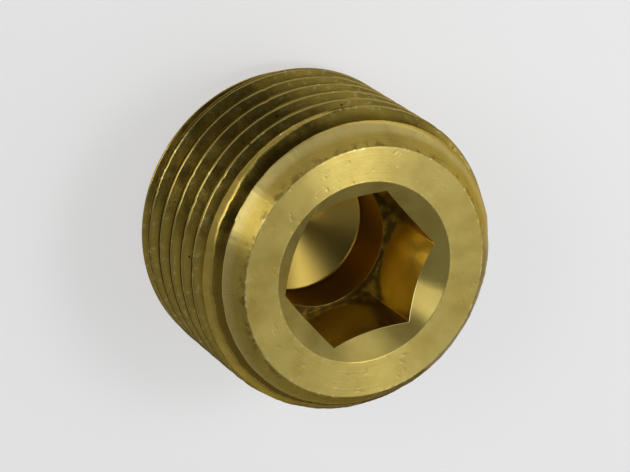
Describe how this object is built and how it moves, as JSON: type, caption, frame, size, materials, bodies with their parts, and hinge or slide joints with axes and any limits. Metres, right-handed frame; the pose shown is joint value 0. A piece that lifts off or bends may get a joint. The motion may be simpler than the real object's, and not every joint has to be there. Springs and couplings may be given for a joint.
{
  "type": "hex socket pipe plug",
  "caption": "Short brass plug with a tapered pipe thread outside and a countersunk blind hex socket in its large end, screwed into a threaded port to close it.",
  "frame": {"origin": "centre of the small end, on the plug's axis", "axes": "+Z along the plug's axis, out of the hex socket; +X through a corner of the hex"},
  "size_m": [0.0212, 0.0211, 0.0143],
  "materials": {
    "brass": "bare turned brass, satin, lightly nicked"
  },
  "bodies": {
    "root": {"pipe_plug": "brass"}
  },
  "joints": []
}
